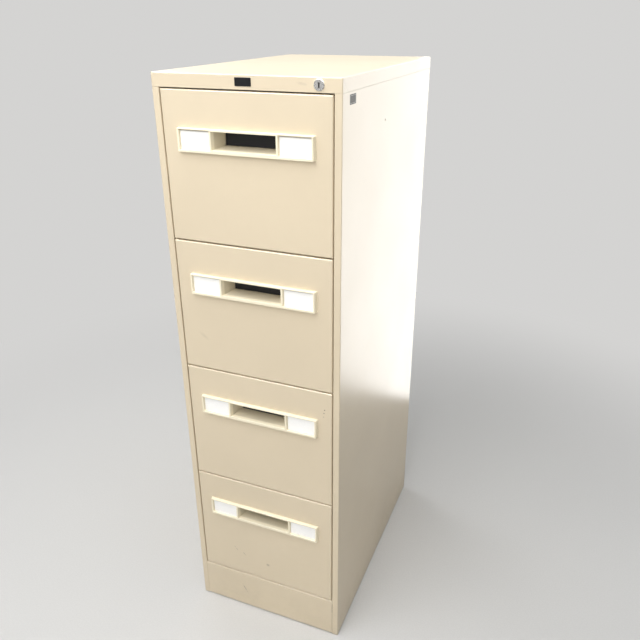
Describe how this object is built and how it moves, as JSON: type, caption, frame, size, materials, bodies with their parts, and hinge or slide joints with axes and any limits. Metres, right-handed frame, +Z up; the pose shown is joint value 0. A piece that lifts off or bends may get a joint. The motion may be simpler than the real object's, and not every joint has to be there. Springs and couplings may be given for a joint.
{
  "type": "vertical filing cabinet",
  "caption": "Tall narrow steel filing cabinet with deep full-extension drawers, moulded recessed handles with label windows and latches, and a cylinder lock.",
  "frame": {"origin": "middle of the bounding box's bottom, on the floor", "axes": "+X to the right as the user faces the drawers, +Y towards the back, +Z up; the drawers open towards -Y"},
  "size_m": [0.3872, 0.638, 1.335],
  "materials": {
    "beige_paint": "satin",
    "inner_paint": "satin",
    "ivory_plastic": "satin",
    "white_card": "matte",
    "black_plastic": "satin",
    "black_plate": "gloss",
    "grey_label": "satin",
    "chrome_lock": "polished",
    "zinc_steel": "satin",
    "rivet_metal": "satin",
    "dark_rubber": "matte"
  },
  "bodies": {
    "cabinet": {"side_panel_left": "beige_paint", "side_panel_right": "beige_paint", "top_cap": "beige_paint", "top_front_band": "beige_paint", "kick_plate": "beige_paint", "bottom_panel": "inner_paint", "back_panel": "beige_paint", "back_rivets": "rivet_metal", "base_channel_front": "inner_paint", "base_channel_rear": "inner_paint", "levelling_feet": "dark_rubber", "upright_front_left": "inner_paint", "upright_front_right": "inner_paint", "upright_rear_left": "inner_paint", "upright_rear_right": "inner_paint", "lock_housing": "chrome_lock", "lock_nut": "zinc_steel", "lock_bar_guides": "inner_paint", "name_plate": "black_plate", "side_label": "grey_label", "cabinet_rails_1": "zinc_steel", "cabinet_rails_2": "zinc_steel", "cabinet_rails_3": "zinc_steel", "cabinet_rails_4": "zinc_steel"},
    "lock_cylinder": {"lock_plug": "chrome_lock", "lock_cam": "zinc_steel"},
    "lock_bar": {"lock_bar": "zinc_steel"},
    "drawer_1": {"drawer_front_1": "beige_paint", "drawer_tray_1": "inner_paint", "drawer_back_1": "inner_paint", "handle_1": "ivory_plastic", "label_cards_1": "white_card", "drawer_rails_1": "zinc_steel"},
    "slide_1": {"intermediate_rails_1": "zinc_steel"},
    "latch_1": {"latch_paddle_1": "black_plastic"},
    "drawer_2": {"drawer_front_2": "beige_paint", "drawer_tray_2": "inner_paint", "drawer_back_2": "inner_paint", "handle_2": "ivory_plastic", "label_cards_2": "white_card", "drawer_rails_2": "zinc_steel"},
    "slide_2": {"intermediate_rails_2": "zinc_steel"},
    "latch_2": {"latch_paddle_2": "black_plastic"},
    "drawer_3": {"drawer_front_3": "beige_paint", "drawer_tray_3": "inner_paint", "drawer_back_3": "inner_paint", "handle_3": "ivory_plastic", "label_cards_3": "white_card", "drawer_rails_3": "zinc_steel"},
    "slide_3": {"intermediate_rails_3": "zinc_steel"},
    "latch_3": {"latch_paddle_3": "black_plastic"},
    "drawer_4": {"drawer_front_4": "beige_paint", "drawer_tray_4": "inner_paint", "drawer_back_4": "inner_paint", "handle_4": "ivory_plastic", "label_cards_4": "white_card", "drawer_rails_4": "zinc_steel"},
    "slide_4": {"intermediate_rails_4": "zinc_steel"},
    "latch_4": {"latch_paddle_4": "black_plastic"}
  },
  "joints": [
    {"name": "lock_turn", "type": "hinge", "parent": "cabinet", "child": "lock_cylinder", "pos_m": [0.1503, -0.3, 1.3218], "axis": [0, 1, 0], "range_deg": [0, 90]},
    {"name": "lock_bar_slide", "type": "slide", "parent": "cabinet", "child": "lock_bar", "axis": [0, 0, -1], "range_m": [0, 0.007]},
    {"name": "drawer_1_slide", "type": "slide", "parent": "cabinet", "child": "drawer_1", "axis": [0, -1, 0], "range_m": [0, 0.56]},
    {"name": "slide_1_follow", "type": "slide", "parent": "cabinet", "child": "slide_1", "axis": [0, -1, 0], "range_m": [0, 0.28]},
    {"name": "latch_1_pull", "type": "hinge", "parent": "drawer_1", "child": "latch_1", "pos_m": [0, -0.2802, 1.229], "axis": [-1, 0, 0], "range_deg": [0, 12], "stiffness_Nm_per_rad": 0.05, "springref_deg": -17.19},
    {"name": "drawer_2_slide", "type": "slide", "parent": "cabinet", "child": "drawer_2", "axis": [0, -1, 0], "range_m": [0, 0.56]},
    {"name": "slide_2_follow", "type": "slide", "parent": "cabinet", "child": "slide_2", "axis": [0, -1, 0], "range_m": [0, 0.28]},
    {"name": "latch_2_pull", "type": "hinge", "parent": "drawer_2", "child": "latch_2", "pos_m": [0, -0.2802, 0.9306], "axis": [-1, 0, 0], "range_deg": [0, 12], "stiffness_Nm_per_rad": 0.05, "springref_deg": -17.19},
    {"name": "drawer_3_slide", "type": "slide", "parent": "cabinet", "child": "drawer_3", "axis": [0, -1, 0], "range_m": [0, 0.56]},
    {"name": "slide_3_follow", "type": "slide", "parent": "cabinet", "child": "slide_3", "axis": [0, -1, 0], "range_m": [0, 0.28]},
    {"name": "latch_3_pull", "type": "hinge", "parent": "drawer_3", "child": "latch_3", "pos_m": [0, -0.2802, 0.6322], "axis": [-1, 0, 0], "range_deg": [0, 12], "stiffness_Nm_per_rad": 0.05, "springref_deg": -17.19},
    {"name": "drawer_4_slide", "type": "slide", "parent": "cabinet", "child": "drawer_4", "axis": [0, -1, 0], "range_m": [0, 0.56]},
    {"name": "slide_4_follow", "type": "slide", "parent": "cabinet", "child": "slide_4", "axis": [0, -1, 0], "range_m": [0, 0.28]},
    {"name": "latch_4_pull", "type": "hinge", "parent": "drawer_4", "child": "latch_4", "pos_m": [0, -0.2802, 0.3338], "axis": [-1, 0, 0], "range_deg": [0, 12], "stiffness_Nm_per_rad": 0.05, "springref_deg": -17.19}
  ],
  "couplings": [
    {"joint": "lock_turn", "follows": "lock_bar_slide", "rad_per_m": 224.4},
    {"joint": "slide_1_follow", "follows": "drawer_1_slide", "ratio": 0.5},
    {"joint": "slide_2_follow", "follows": "drawer_2_slide", "ratio": 0.5},
    {"joint": "slide_3_follow", "follows": "drawer_3_slide", "ratio": 0.5},
    {"joint": "slide_4_follow", "follows": "drawer_4_slide", "ratio": 0.5}
  ]
}
